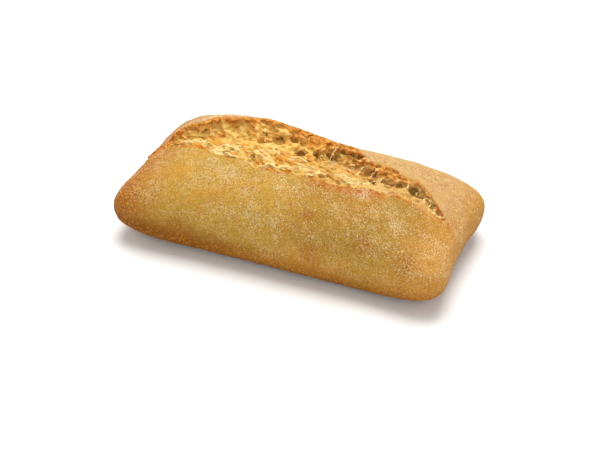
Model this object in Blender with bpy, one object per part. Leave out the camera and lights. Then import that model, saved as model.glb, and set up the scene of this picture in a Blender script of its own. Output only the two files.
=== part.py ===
"""A ciabatta: one long pillow of bread, its crust torn open along the top over the open crumb.

Metres, +Z up. The origin is on the surface the loaf rests on, under its middle. +X runs along the
loaf to the end where the tear closes to a point, and +Y runs across it to the high lip of the tear.
"""

import math

import bmesh
import bpy
from mathutils import Vector, noise

# The pillow
LENGTH = 0.242
WIDTH = 0.113
HEIGHT = 0.064  # of the dome, before the lips of the tear stand up from it
WAIST = 0.38 * HEIGHT  # where the sides bulge most
PLAN_SQUARENESS = 6.5  # 2 is an oval seen from above, and a large number a rectangle
CORNER_REACH = ((0.0110, -0.0120), (0.0105, 0.0085))  # how far corners are drawn out: left near, far, right
DOME_SQUARENESS = 2.4  # the same, for the curve from the side up over the top
FOOT_SQUARENESS = 2.9  # and for the curve from the side down to the base
FLAT_BASE = 1.20  # the lower half is drawn out by this much and cut off flat where it stands
TALLER_LEFT = 0.05  # share of the height by which the +X end is lower
LOWER_ENDS = 0.16  # share of the height that the crown loses towards both ends
END_PINCH = (0.048, 0.035)  # how far the ends draw in between corners, left and right, in half lengths
TAPER = -0.045  # share of the width, narrower towards +X

# Unevenness of the crust
SWELL, SWELL_SIZE = 0.0011, 0.045
BLISTER, BLISTER_SIZE = 0.0005, 0.014
DENTS = (  # x, y, radius and depth of the soft dents in the front of the crust, and one behind the tear
    (0.026, -0.045, 0.013, 0.0016),
    (0.070, -0.047, 0.014, 0.0018),
    (-0.050, -0.046, 0.016, 0.0011),
    (0.094, -0.030, 0.010, 0.0010),
    (0.022, 0.046, 0.026, 0.0034),
)

# The tear, as (x, y) points that its two lips pass through
NEAR_LIP = (
    (-0.112, -0.0200), (-0.107, -0.0172), (-0.1035, -0.0102), (-0.099, -0.0054), (-0.084, -0.0080),
    (-0.065, -0.0115), (-0.0588, -0.0160), (-0.044, -0.0188), (-0.033, -0.0184), (-0.0278, -0.0204),
    (-0.022, -0.0235), (-0.004, -0.0222), (0.008, -0.0200), (0.0232, -0.0188), (0.0303, -0.0185),
    (0.0388, -0.0168), (0.048, -0.0137), (0.0556, -0.0112), (0.065, -0.0064), (0.073, -0.0004),
    (0.0875, 0.0000), (0.0908, -0.0014), (0.098, -0.0038), (0.107, -0.0054),
)  # fmt: skip
FAR_LIP = (
    (-0.112, -0.0175), (-0.106, -0.0112), (-0.101, 0.0038), (-0.094, 0.0122), (-0.082, 0.0137),
    (-0.073, 0.0175), (-0.054, 0.0198), (-0.010, 0.0236), (0.012, 0.0232), (0.029, 0.0232),
    (0.0415, 0.0150), (0.050, 0.0165), (0.060, 0.0172), (0.069, 0.0142), (0.078, 0.0156),
    (0.0895, 0.0092), (0.0985, 0.0022), (0.107, -0.0048),
)  # fmt: skip
TEAR_START, TEAR_END = -0.1165, 0.1065
LIP_WAVER, LIP_WAVER_SIZE = 0.0009, 0.009  # the lips' own unevenness
FAR_RIDGE = (  # x, and how far the far lip stands up there
    (-0.112, 0.0016), (-0.098, 0.0034), (-0.080, 0.0058), (-0.055, 0.0070), (-0.035, 0.0086),
    (-0.020, 0.0072), (0.000, 0.0054), (0.015, 0.0046), (0.030, 0.0050), (0.038, 0.0038), (0.047, 0.0012),
    (0.107, 0.0015),
)  # fmt: skip
FAR_RIDGE_WIDTH = (  # x, and how far back the lip's rise runs there
    (-0.112, 0.0140), (-0.055, 0.0135), (-0.030, 0.0085), (0.000, 0.0078), (0.030, 0.0060),
    (0.045, 0.0080),
)  # fmt: skip
NEAR_RIDGE, NEAR_RIDGE_WIDTH = 0.0009, 0.006
EAR = (-0.1050, -0.0190, 0.0045, 0.0024)  # x, y, radius and height of the curl of crust at the open end
LIP_STEP = 0.0009  # how far the crumb starts under the near lip
VALLEY_DEPTH, VALLEY_SHARE = 0.0056, 0.70  # its deepest line, and how far across the tear that lies
CRUST = 0.0017  # thickness of the crust where the far lip shows it
UNDERCUT = 0.0024  # how far the hollow reaches in under the far lip
ROOF = 0.030  # how far the cutter stands above the dome

# The open crumb: broken cells of two sizes, and the torn ridges between them
CELL_STRETCH = 1.35  # cells are longer along the loaf
WIDE_CELL, WIDE_CELL_DEPTH = 0.0115, 0.0062
FINE_CELL, FINE_CELL_DEPTH = 0.0056, 0.0026
TATTER, TATTER_SIZE = 0.0012, 0.0032
CAVES = (  # x, share of the way across the tear, radius and sinking of the deep holes
    (-0.0845, 0.90, 0.0026, 0.00),
    (-0.0768, 0.88, 0.0030, 0.00),
    (-0.0555, 0.90, 0.0032, 0.05),
    (-0.0340, 0.80, 0.0036, 0.10),
    (-0.0221, 0.85, 0.0046, 0.30),
    (-0.0310, 0.18, 0.0040, -0.05),
    (-0.0123, 0.87, 0.0036, -0.05),
    (-0.0032, 0.70, 0.0042, 0.00),
    (0.0070, 0.73, 0.0032, 0.00),
    (0.0177, 0.79, 0.0062, 0.15),
    (0.0328, 0.90, 0.0048, 0.25),
    (0.0464, 0.85, 0.0036, 0.10),
    (0.0519, 0.48, 0.0036, 0.10),
    (0.0599, 0.47, 0.0044, 0.20),
    (0.0680, 0.77, 0.0034, 0.10),
    (0.0767, 0.76, 0.0036, 0.10),
    (0.0830, 0.70, 0.0030, 0.10),
    (0.0906, 0.68, 0.0020, 0.10),
    (0.0971, 0.70, 0.0019, 0.20),
)

BODY_STEPS = (38, 21, 9)  # squares along, across and up the pillow
LINES_ACROSS = ((-1.0, -1.0), (-0.33, -0.07), (0.71, 0.64), (1.0, 1.0))  # closer by the lips than even steps
WELD = 1e-6  # points this close are made one after the cuts
OFF_CENTRE = 1e-9  # keeps a power of 0 from being taken
BED_STEPS = (97, 17)  # squares along and across the crumb


def smooth_step(value, low, high):
    """0 below low, 1 above high, and an S-curve between."""
    share = min(max((value - low) / (high - low), 0.0), 1.0)
    return share * share * (3.0 - 2.0 * share)


def along(points, x):
    """The y at x of a smooth curve through (x, y) points, flat beyond its ends."""
    if x <= points[0][0]:
        return points[0][1]
    for i, (start, end) in enumerate(zip(points, points[1:])):
        if x <= end[0]:
            before = points[max(i - 1, 0)]
            after = points[min(i + 2, len(points) - 1)]
            span = end[0] - start[0]
            slope_in = (end[1] - before[1]) / (end[0] - before[0])
            slope_out = (after[1] - start[1]) / (after[0] - start[0])
            t = (x - start[0]) / span
            return (
                start[1] * (1 + 2 * t) * (1 - t) ** 2
                + slope_in * span * t * (1 - t) ** 2
                + end[1] * t * t * (3 - 2 * t)
                - slope_out * span * t * t * (1 - t)
            )
    return points[-1][1]


def rough(point, size, seed):
    """Smooth noise from -1 to 1 that turns over about once in size."""
    return noise.noise(Vector(point) / size + Vector((seed, 2.7 * seed, -1.3 * seed)))


def lip_waver(x, seed):
    """How far a lip wanders from its curve at x. It fades out where the lips close to a point."""
    return LIP_WAVER * rough((x, 0, 0), LIP_WAVER_SIZE, seed) * smooth_step(-x, -0.100, -0.080)


def near_lip(x):
    """The y of the tear's near lip at x."""
    return along(NEAR_LIP, x) + lip_waver(x, 1)


def far_lip(x):
    """The y of the tear's far lip at x."""
    return along(FAR_LIP, x) + lip_waver(x, 2)


def crown(along_share):
    """Height of the dome's crown at a share, -1 to 1, of the way along the loaf."""
    return HEIGHT * (1.0 - TALLER_LEFT * along_share - LOWER_ENDS * along_share**2)


def dome_height(x, y):
    """Height of the smooth dome over (x, y)."""
    lengthwise = min(abs(2 * x / LENGTH), 1.0)
    across = min(abs(2 * y / WIDTH) / (1 + TAPER * 2 * x / LENGTH), 1.0)
    lengthwise /= 1 - END_PINCH[x > 0] * (1 - across**2) * lengthwise**3
    plan = (across**PLAN_SQUARENESS + lengthwise**PLAN_SQUARENESS) ** (1 / PLAN_SQUARENESS)
    rise = max(1.0 - min(plan, 1.0) ** DOME_SQUARENESS, 0.0) ** (1 / DOME_SQUARENESS)
    return WAIST + rise * (crown(2 * x / LENGTH) - WAIST)


def lip_ridges(x, y):
    """How far the lips of the tear stand up from the dome at (x, y)."""
    far = max(y - far_lip(x), 0.0) / along(FAR_RIDGE_WIDTH, x)
    near = (y - near_lip(x)) / NEAR_RIDGE_WIDTH
    raised = along(FAR_RIDGE, x) * math.exp(-far * far)
    if y < far_lip(x):
        raised *= smooth_step(y, near_lip(x), far_lip(x))
    ear_x, ear_y, ear_radius, ear_height = EAR
    ear = ear_height * math.exp(-((x - ear_x) ** 2 + (y - ear_y) ** 2) / ear_radius**2)
    return raised * smooth_step(-abs(x), -0.112, -0.098) + NEAR_RIDGE * math.exp(-near * near) + ear


def pillow_point(cube_point):
    """Where a point of the cube from -1 to 1 lies on the pillow."""
    across_x = cube_point[0] + OFF_CENTRE
    across_y = along(LINES_ACROSS, cube_point[1]) + OFF_CENTRE
    up = cube_point[2] + OFF_CENTRE
    plan = (abs(across_x) ** PLAN_SQUARENESS + abs(across_y) ** PLAN_SQUARENESS) ** (1 / PLAN_SQUARENESS)
    squareness = DOME_SQUARENESS if up > 0 else FOOT_SQUARENESS
    size = (plan**squareness + abs(up) ** squareness) ** (-1 / squareness)
    across_x, across_y, up = across_x * size, across_y * size, up * size
    draw_in = END_PINCH[across_x > 0] * (1 - across_y**2) * abs(across_x) ** 3
    corner = CORNER_REACH[across_x > 0][across_y > 0] * abs(across_x * across_y) ** 4
    x = across_x * (1 - draw_in) * LENGTH / 2 + corner * math.copysign(1.0, across_x)
    y = across_y * (1 + TAPER * across_x) * WIDTH / 2 + corner * math.copysign(1.0, across_y)
    if up > 0:
        return Vector((x, y, WAIST + up * (crown(across_x) - WAIST)))
    return Vector((x, y, WAIST + max(up * FLAT_BASE, -1.0) * WAIST))


def uneven_crust(point, normal):
    """A point of the pillow moved by the crust's swellings, dents and the lips of the tear."""
    lift = smooth_step(point.z, 0.0, 0.5 * WAIST)
    out = SWELL * rough(point, SWELL_SIZE, 3) + BLISTER * rough(point, BLISTER_SIZE, 8)
    for x, y, radius, depth in DENTS:
        reach = ((point.x - x) ** 2 + (point.y - y) ** 2) / radius**2
        out -= depth * math.exp(-reach) * (point.z > WAIST)
    moved = point + normal * out * lift
    if point.z > WAIST:
        moved.z += lip_ridges(point.x, point.y) * smooth_step(point.z, WAIST, 1.5 * WAIST)
    return moved


def make_object(name, mesh_edit):
    """A linked object holding what mesh_edit has built."""
    bmesh.ops.recalc_face_normals(mesh_edit, faces=mesh_edit.faces)
    mesh = bpy.data.meshes.new(name)
    mesh_edit.to_mesh(mesh)
    mesh_edit.free()
    made = bpy.data.objects.new(name, mesh)
    bpy.context.scene.collection.objects.link(made)
    return made


def make_pillow():
    """The whole loaf before the tear: a cube cut into squares and drawn out to the pillow."""
    edit = bmesh.new()
    bmesh.ops.create_cube(edit, size=2.0)
    for axis, steps in enumerate(BODY_STEPS):
        edges = [e for e in edit.edges if abs(e.verts[0].co[axis] - e.verts[1].co[axis]) > 1.0]
        bmesh.ops.subdivide_edges(edit, edges=edges, cuts=steps - 1, use_grid_fill=True)
    for vert in edit.verts:
        vert.co = pillow_point(vert.co)
    edit.normal_update()
    moved = [uneven_crust(v.co, v.normal) for v in edit.verts]
    for vert, place in zip(edit.verts, moved):
        vert.co = place
        if vert.co.z < 1e-5:
            vert.co.z = 0.0
    flat = [v for v in edit.verts if v.co.z == 0.0 and all(n.other_vert(v).co.z == 0.0 for n in v.link_edges)]
    bmesh.ops.dissolve_verts(edit, verts=flat)
    bmesh.ops.triangulate(edit, faces=edit.faces)
    return make_object("ciabatta", edit)


def broken_cells(x, y, size, depth, seed):
    """Relief of broken cells side by side: a bowl in each, of its own depth, and a ridge where two meet."""
    point = Vector((x / CELL_STRETCH, y, seed * 0.37)) / size
    point += 0.25 * noise.noise_vector(point * 1.7)
    distances, centres = noise.voronoi(point)
    wall = smooth_step(distances[1] - distances[0], 0.0, 0.42)
    share = 0.25 + 0.75 * (0.5 + 0.5 * noise.cell(centres[0] * 7.3))
    return -depth * share * wall


def crumb_relief(x, y):
    """How far the broken crumb stands above or below its mean surface at (x, y)."""
    wide = broken_cells(x, y, WIDE_CELL, WIDE_CELL_DEPTH, 1)
    fine = broken_cells(x, y, FINE_CELL, FINE_CELL_DEPTH, 2)
    return wide + fine + TATTER * rough((x, y, 0), TATTER_SIZE, 6) + 0.45 * WIDE_CELL_DEPTH


def bed_height(x, y, share):
    """Height of the torn crumb at (x, y), share of the way from the near lip to the far one."""
    far = far_lip(x)
    opened = smooth_step(far - near_lip(x), 0.0, 0.026)
    valley = smooth_step(share, 0.22, VALLEY_SHARE) * VALLEY_DEPTH * (0.25 + 0.75 * opened)
    bed = dome_height(x, y) - LIP_STEP - valley
    under_rim = dome_height(x, far) + lip_ridges(x, far) - CRUST
    wall = smooth_step(share, VALLEY_SHARE, 1.0)
    inside = smooth_step(share, 0.0, 0.10) * smooth_step(-share, -1.0, -0.93)
    return bed + (under_rim - bed) * wall + crumb_relief(x, y) * opened * inside


def cutter_ring(x):
    """The outline of the tear's cutter across the loaf at x: the crumb's bed, the far lip and the roof."""
    near, far = near_lip(x), far_lip(x)
    hollow = UNDERCUT * smooth_step(far - near, 0.002, 0.010) * (0.75 + 0.6 * rough((x, 0, 0), 0.014, 4))
    ring = []
    for i in range(BED_STEPS[1] + 1):
        share = i / BED_STEPS[1]
        y = near + (far + hollow * smooth_step(share, 0.6, 1.0) - near) * share
        ring.append(Vector((x, y, bed_height(x, y, share))))
    roof = dome_height(x, 0.5 * (near + far)) + ROOF
    ring.append(Vector((x, far - 0.0004, ring[-1].z + 0.0007)))
    ring.append(Vector((x, far - 0.0006, roof)))
    ring.append(Vector((x, near + 0.0002, roof)))
    return ring


def make_tear_cutter():
    """What the tear removes from the pillow, lofted along the loaf."""
    edit = bmesh.new()
    steps = BED_STEPS[0]
    rings = []
    for i in range(steps + 1):
        x = TEAR_START + (TEAR_END - TEAR_START) * i / steps
        rings.append([edit.verts.new(p) for p in cutter_ring(x)])
    for ring, following in zip(rings, rings[1:]):
        for i in range(len(ring)):
            j = (i + 1) % len(ring)
            edit.faces.new((ring[i], ring[j], following[j], following[i]))
    edit.faces.new(rings[0])
    edit.faces.new(reversed(rings[-1]))
    bmesh.ops.triangulate(edit, faces=edit.faces)
    return make_object("tear_cutter", edit)


def make_cave_cutters():
    """The deep holes: balls drawn out along the loaf and sunk into the crumb."""
    edit = bmesh.new()
    for x, share, radius, sinking in CAVES:
        near, far = near_lip(x), far_lip(x)
        y = near + (far - near) * share
        z = bed_height(x, y, share) - sinking * radius
        made = bmesh.ops.create_icosphere(edit, subdivisions=2, radius=radius)
        for vert in made["verts"]:
            uneven = 1 + 0.25 * rough(vert.co + Vector((x, y, 0)), 0.8 * radius, 9)
            vert.co = Vector((x, y, z)) + vert.co * Vector((CELL_STRETCH, 1, 1)) * uneven
    return make_object("cave_cutters", edit)


def cut(body, cutter):
    """Removes the cutter's shape from the body, and then the cutter."""
    boolean = body.modifiers.new("cut", "BOOLEAN")
    boolean.operation = "DIFFERENCE"
    boolean.solver = "MANIFOLD"
    boolean.object = cutter
    graph = bpy.context.evaluated_depsgraph_get()
    mesh = bpy.data.meshes.new_from_object(body.evaluated_get(graph))
    body.modifiers.clear()
    body.data = mesh
    bpy.data.objects.remove(cutter)


def keep_largest(body):
    """Drops the loose scraps that the cuts leave, by keeping the part with the most faces."""
    edit = bmesh.new()
    edit.from_mesh(body.data)
    bmesh.ops.remove_doubles(edit, verts=edit.verts, dist=WELD)
    seen, parts = set(), []
    for start in edit.faces:
        if start in seen:
            continue
        part, todo = [], [start]
        seen.add(start)
        while todo:
            face = todo.pop()
            part.append(face)
            for near in {f for e in face.edges for f in e.link_faces} - seen:
                seen.add(near)
                todo.append(near)
        parts.append(part)
    parts.sort(key=len)
    scraps = [face for part in parts[:-1] for face in part]
    bmesh.ops.delete(edit, geom=scraps, context="FACES")
    bmesh.ops.dissolve_verts(edit, verts=[v for v in edit.verts if len(v.link_edges) == 2])
    bmesh.ops.triangulate(edit, faces=edit.faces)
    edit.to_mesh(body.data)
    edit.free()


def centre_on_origin(body):
    """Moves the mesh so that the middle of its box is over the origin."""
    for axis in (0, 1):
        places = [vert.co[axis] for vert in body.data.vertices]
        middle = 0.5 * (min(places) + max(places))
        for vert in body.data.vertices:
            vert.co[axis] -= middle


def bread_material():
    """Golden baked crust."""
    crust = bpy.data.materials.new("crust")
    crust.use_nodes = True
    shader = crust.node_tree.nodes["Principled BSDF"]
    shader.inputs["Base Color"].default_value = (0.53, 0.30, 0.095, 1.0)
    shader.inputs["Roughness"].default_value = 0.62
    shader.inputs["Metallic"].default_value = 0.0
    return crust


def main():
    for old in list(bpy.data.objects):
        bpy.data.objects.remove(old)
    loaf = make_pillow()
    cut(loaf, make_tear_cutter())
    cut(loaf, make_cave_cutters())
    keep_largest(loaf)
    centre_on_origin(loaf)
    loaf.data.materials.append(bread_material())
    loaf.data.shade_smooth()
    loaf.data.set_sharp_from_angle(angle=math.radians(40))


main()
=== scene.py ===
"""A ciabatta: the baked loaf with its floury crust, torn open along the top over the open crumb.

Metres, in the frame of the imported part: the loaf stands on z = 0, +X runs along it to the end where the tear
closes to a point, and +Y runs across it to the tear's high lip.
"""

import math

import bpy
import numpy as np
from mathutils import Matrix, Vector, noise
from mathutils.bvhtree import BVHTree
from mathutils.kdtree import KDTree


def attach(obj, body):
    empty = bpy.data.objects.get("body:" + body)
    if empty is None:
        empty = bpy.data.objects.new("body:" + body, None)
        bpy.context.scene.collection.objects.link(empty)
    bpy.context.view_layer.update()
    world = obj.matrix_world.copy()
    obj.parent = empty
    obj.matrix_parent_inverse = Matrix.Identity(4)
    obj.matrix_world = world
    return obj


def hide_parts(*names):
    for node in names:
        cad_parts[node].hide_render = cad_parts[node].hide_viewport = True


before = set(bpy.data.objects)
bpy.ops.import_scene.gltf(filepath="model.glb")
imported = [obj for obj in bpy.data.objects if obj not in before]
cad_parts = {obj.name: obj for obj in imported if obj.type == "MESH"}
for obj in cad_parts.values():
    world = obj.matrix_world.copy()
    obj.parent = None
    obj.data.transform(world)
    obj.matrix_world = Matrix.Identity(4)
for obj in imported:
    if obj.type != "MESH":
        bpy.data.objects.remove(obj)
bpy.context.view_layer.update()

CENTRED = (-0.00047, 0.00147)  # the move that centres the loaf

# The camera, as angles round the point that it looks at
CAMERA_AZIMUTH, CAMERA_ELEVATION = math.radians(22.9), math.radians(37.5)
CAMERA_DISTANCE, CAMERA_AIM = 1.05, Vector((*CENTRED, 0.0))
FOCAL_LENGTH, SENSOR_WIDTH = 90.65, 36.0  # in mm
PHOTO_WIDTH = 600  # in pixels, as are the two shifts
CAMERA_SHIFT = (-0.5 / PHOTO_WIDTH, 6.2 / PHOTO_WIDTH)

# The lights, each with its place, size and power, and the sky's strength
LIGHTS = {"overhead": ((-0.1, 0.3, 1.1), 0.9, 15.0), "window": ((0.5, -1.1, 0.7), 0.9, 4.0)}
LIT_POINT = (0, 0, 0.03)
SKY_STRENGTH = 0.62
FLOOR_SIZE = 6.0

# fmt: off
# The tear, as (x, y) points that its two lips pass through, before the loaf is centred
NEAR_LIP = (
    (-0.112, -0.02), (-0.107, -0.0172), (-0.1035, -0.0102), (-0.099, -0.0054), (-0.084, -0.008),
    (-0.065, -0.0115), (-0.0588, -0.016), (-0.044, -0.0188), (-0.033, -0.0184), (-0.0278, -0.0204),
    (-0.022, -0.0235), (-0.004, -0.0222), (0.008, -0.02), (0.0232, -0.0188), (0.0303, -0.0185),
    (0.0388, -0.0168), (0.048, -0.0137), (0.0556, -0.0112), (0.065, -0.0064), (0.073, -0.0004),
    (0.0875, 0.0), (0.0908, -0.0014), (0.098, -0.0038), (0.107, -0.0054),
)
FAR_LIP = (
    (-0.112, -0.0175), (-0.106, -0.0112), (-0.101, 0.0038), (-0.094, 0.0122), (-0.082, 0.0137),
    (-0.073, 0.0175), (-0.054, 0.0198), (-0.01, 0.0236), (0.012, 0.0232), (0.029, 0.0232),
    (0.0415, 0.015), (0.05, 0.0165), (0.06, 0.0172), (0.069, 0.0142), (0.078, 0.0156),
    (0.0895, 0.0092), (0.0985, 0.0022), (0.107, -0.0048),
)
TEAR_START, TEAR_END = -0.1165, 0.1065
TEAR_MIDDLE, HALF_TEAR = -0.005, 0.111
LIP_STEPS = 600
LIP_WAVER, LIP_WAVER_SIZE = 0.0009, 0.009
NEAR_LIP_SEED, FAR_LIP_SEED = 1, 2
LOWEST_CRUMB = 0.036
UNDER_RIM = 0.0045  # how far behind the far lip the hollow under it may reach

# The cells that show: x, share of the way across the tear, height, half length, half width, how far they are
# sunk in, and how dark they are, 0 to 1. All but the shares are in mm.
CELLS = (
    (-86.0, 0.96, 54.5, 2.2, 1.3, 0.4, 0.7), (-77.5, 0.97, 55.5, 2.8, 1.4, 0.4, 0.5),
    (-70.0, 0.6, 54.0, 2.4, 1.4, 0.4, 0.3), (-63.5, 0.8, 55.0, 3.0, 1.2, 0.5, 0.6),
    (-57.5, 0.93, 57.5, 1.5, 1.2, 0.9, 1.0), (-56.0, 0.97, 61.5, 3.6, 1.7, 0.5, 0.5),
    (-54.0, 0.14, 59.5, 3.0, 0.9, 0.2, 0.6), (-42.0, 0.91, 65.0, 1.9, 1.2, 0.5, 0.8),
    (-33.5, 0.88, 62.0, 3.8, 1.6, 0.9, 0.9), (-34.0, 0.77, 58.5, 2.9, 2.7, 1.1, 0.6),
    (-31.5, 0.18, 61.5, 4.6, 2.7, 0.7, 0.6), (-28.5, 0.12, 62.0, 1.6, 1.2, 1.0, 0.9),
    (-23.5, 0.92, 59.5, 4.8, 1.8, 0.9, 1.0), (-13.0, 0.92, 60.5, 4.2, 2.0, 0.5, 0.5),
    (-4.0, 0.78, 55.5, 4.6, 2.0, 0.6, 0.5), (1.5, 0.07, 63.5, 2.8, 0.9, 0.2, 0.7),
    (5.0, 0.77, 55.5, 2.2, 2.6, 0.6, 0.4), (15.0, 0.88, 55.0, 5.0, 3.0, 1.4, 0.8),
    (25.5, 0.94, 60.0, 6.5, 2.9, 1.0, 0.8), (34.0, 0.92, 58.5, 3.4, 1.7, 0.9, 0.9),
    (28.5, 0.79, 55.5, 1.9, 1.8, 0.6, 0.6), (22.5, 0.1, 62.0, 3.4, 1.6, 0.2, 0.4),
    (38.5, 0.6, 57.0, 2.6, 1.8, 0.5, 0.3), (46.0, 0.93, 55.0, 2.8, 3.0, 0.7, 0.5),
    (53.5, 0.36, 57.5, 2.5, 3.0, 1.0, 0.7), (56.0, 0.85, 55.0, 2.0, 1.8, 0.6, 0.4),
    (62.5, 0.28, 56.0, 3.2, 2.6, 1.1, 0.9), (66.5, 0.88, 50.0, 2.5, 1.2, 0.7, 0.9),
    (70.5, 0.84, 49.0, 1.3, 1.2, 1.0, 1.0), (76.0, 0.94, 46.5, 2.9, 3.2, 0.4, 0.5),
    (80.5, 0.7, 44.5, 3.2, 2.1, 0.4, 0.4), (84.0, 0.92, 48.5, 2.8, 1.6, 0.6, 0.6),
    (88.0, 0.6, 46.0, 1.5, 1.3, 0.5, 0.4), (93.0, 0.9, 45.0, 1.5, 1.2, 0.6, 0.9),
    (97.0, 0.86, 43.5, 1.6, 1.2, 0.6, 1.0), (102.5, 0.75, 42.5, 1.5, 1.1, 0.5, 0.8),
)
# Strands left standing: x and share across where each starts and ends, and in mm its arch and its radius
STRANDS = (
    (0.0165, 0.6, 0.019, 0.97, 1.2, 0.5), (0.021, 0.62, 0.015, 0.95, 0.6, 0.42),
    (0.03, 0.62, 0.035, 0.96, 0.8, 0.45), (0.035, 0.66, 0.039, 0.96, 0.8, 0.42),
    (0.0385, 0.66, 0.042, 0.94, 0.6, 0.42), (-0.03, 0.7, -0.035, 0.92, 0.5, 0.42),
    (0.048, 0.6, 0.05, 0.96, 0.6, 0.45), (0.05, 0.3, 0.053, 0.7, 0.5, 0.42),
    (0.0565, 0.3, 0.0555, 0.8, 0.8, 0.5), (0.064, 0.5, 0.0655, 0.95, 0.6, 0.42),
    (-0.0235, 0.62, -0.019, 0.7, 0.3, 0.4), (0.0735, 0.45, 0.0725, 0.95, 0.4, 0.45),
    (0.0795, 0.35, 0.081, 0.92, 0.4, 0.45), (0.0865, 0.25, 0.087, 0.9, 0.3, 0.42),
    (0.0915, 0.2, 0.091, 0.92, 0.2, 0.42), (0.0955, 0.15, 0.095, 0.9, 0.2, 0.4),
    (0.0995, 0.15, 0.099, 0.9, 0.2, 0.4),
)
# Torn shreds that lie along the near lip: x where each starts and ends, shares across there, radius in mm
SHREDS = (
    (-0.062, -0.039, 0.09, 0.05, 1.23), (-0.061, -0.04, 0.2, 0.15, 1.04),
    (-0.06, -0.039, 0.31, 0.25, 0.98), (-0.057, -0.042, 0.42, 0.36, 0.85),
    (-0.042, -0.033, 0.34, 0.44, 0.91), (-0.03, -0.014, 0.33, 0.24, 1.04),
    (-0.029, -0.015, 0.44, 0.35, 0.91), (-0.023, -0.008, 0.14, 0.09, 1.1),
    (-0.025, -0.012, 0.53, 0.45, 0.78), (-0.008, 0.006, 0.1, 0.14, 0.98),
    (-0.006, 0.008, 0.34, 0.28, 0.85), (0.0, 0.014, 0.22, 0.2, 0.91),
    (0.012, 0.024, 0.1, 0.14, 0.78), (-0.092, -0.078, 0.14, 0.18, 0.91),
    (-0.08, -0.066, 0.24, 0.2, 0.91), (-0.09, -0.07, 0.4, 0.34, 0.78),
    (0.03, 0.042, 0.22, 0.26, 0.91), (0.04, 0.05, 0.12, 0.2, 0.78),
)

# The torn flap of the far lip, streaked along its length: the first ridge's x at both ends, and in mm how far
# below the rim it lies there, how much lower each further one starts and ends, and their radius
FLAP_ENDS, FLAP_DEPTHS, FLAP_STEPS = (0.025, 0.04), (0.2, 0.6), (0.75, 1.0)
FLAP_RIDGES, FLAP_RIDGE_SHIFT, FLAP_RIDGE_RADIUS = 7, 0.0012, 0.55

# The curled flap at the tear's broad end, and which way its lumps point
TIP_FLAP = ((-0.1102, -0.008, 0.0403), (-0.109, -0.004, 0.0414), (-0.1068, 0.001, 0.0428))
TIP_HEADING = math.radians(72)
# How far, and which way, the crumb was drawn out as it tore
PULL, PULL_HEADING = 2.2, math.radians(-12)

# The crumb's fine relief: each texture with its kind, size, strength, middle level and settings
CRUMB_RELIEF = (
    ("heaps", "CLOUDS", 0.006, 0.0026, 0.5, {}),
    ("tatters", "MUSGRAVE", 0.003, 0.0014, 0.5,
     {"musgrave_type": "RIDGED_MULTIFRACTAL", "octaves": 2.0, "offset": 0.9, "gain": 1.5}),
    ("pores", "VORONOI", 0.0022, 0.0009, 0.42, {"distance_metric": "DISTANCE_SQUARED"}),
)
# fmt: on

# Modelling
MM = 0.001
WELD = 1e-6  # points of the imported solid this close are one
CRUST_VOXEL, CRUMB_VOXEL, CELL_VOXEL = 0.0009, 0.0005, 0.00045
CRUMB_SEED, FLOUR_SEED = 5, 11
BUBBLES, SMALLEST_BUBBLE, LARGEST_BUBBLE = 260, 0.001, 0.003
BARE_RIM = 0.004  # no bubbles this close below the far lip
FAR_CRAGS, NEAR_CRAGS, TIP_CRAGS = 260, 150, 26
NARROW_END = 0.064  # beyond this x the lips' lumps are small
CELL_LUMP, CELL_LUMP_SIZE = 0.0012, 0.0024
RAGGED_EDGE = 0.0012
BLISTER, BLISTER_SIZE = 0.0006, 0.0055
SCAR_DEPTH = 0.0009
MOST_TRIANGLES = 196_000
GROUP_STEPS = 40  # weights are stored in this many steps
SKY_RAYS, SKY_REACH, LOWEST_RAY = 16, 0.016, 0.15
PROUD_RANGE = 0.0012
GRAINS, SMALLEST_GRAIN, LARGEST_GRAIN = 6200, 0.00014, 0.00032


def srgb(red, green, blue):
    """A colour as it looks on screen, 0 to 255, turned into the linear values that a shader takes."""
    shares = [channel / 255 for channel in (red, green, blue)]
    return tuple(s / 12.92 if s <= 0.04045 else ((s + 0.055) / 1.055) ** 2.4 for s in shares) + (1.0,)


# ---- Where the tear is


def rough(point, size, seed):
    """Smooth noise from -1 to 1 that turns over about once in size."""
    return noise.noise(Vector(point) / size + Vector((seed, 2.7 * seed, -1.3 * seed)))


def smooth_step(values, low, high):
    share = np.clip((values - low) / (high - low), 0, 1)
    return share * share * (3 - 2 * share)


def lip_curve(points, seed):
    """A lip of the tear, as the xs and ys of a smooth wavering curve through its points."""
    xs = np.linspace(TEAR_START, TEAR_END, LIP_STEPS)
    px, py = np.array(points).T
    before = np.maximum(np.arange(len(px)) - 1, 0)
    after = np.minimum(np.arange(len(px)) + 1, len(px) - 1)
    slopes = (py[after] - py[before]) / (px[after] - px[before])
    i = np.clip(np.searchsorted(px, xs) - 1, 0, len(px) - 2)
    span = px[i + 1] - px[i]
    t = np.clip((xs - px[i]) / span, 0, 1)
    ys = (
        py[i] * (1 + 2 * t) * (1 - t) ** 2
        + slopes[i] * span * t * (1 - t) ** 2
        + py[i + 1] * t * t * (3 - 2 * t)
        - slopes[i + 1] * span * t * t * (1 - t)
    )
    waver = np.array([rough((x, 0, 0), LIP_WAVER_SIZE, seed) for x in xs])
    ys += LIP_WAVER * waver * smooth_step(-xs, -0.1, -0.08)
    return xs + CENTRED[0], ys + CENTRED[1]


def points_of(mesh, what="co"):
    """The place of each point, or its normal, as rows of x, y and z."""
    flat = np.empty(len(mesh.vertices) * 3)
    mesh.vertices.foreach_get(what, flat)
    return flat.reshape(-1, 3)


def tree_of(mesh):
    """The mesh's faces, for rays and nearest places."""
    return BVHTree.FromPolygons(points_of(mesh).tolist(), [tuple(p.vertices) for p in mesh.polygons])


def lips_at(xs):
    """The y of the near and of the far lip at each x."""
    near, far = lip_curve(NEAR_LIP, NEAR_LIP_SEED), lip_curve(FAR_LIP, FAR_LIP_SEED)
    return np.interp(xs, *near), np.interp(xs, *far)


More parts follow.
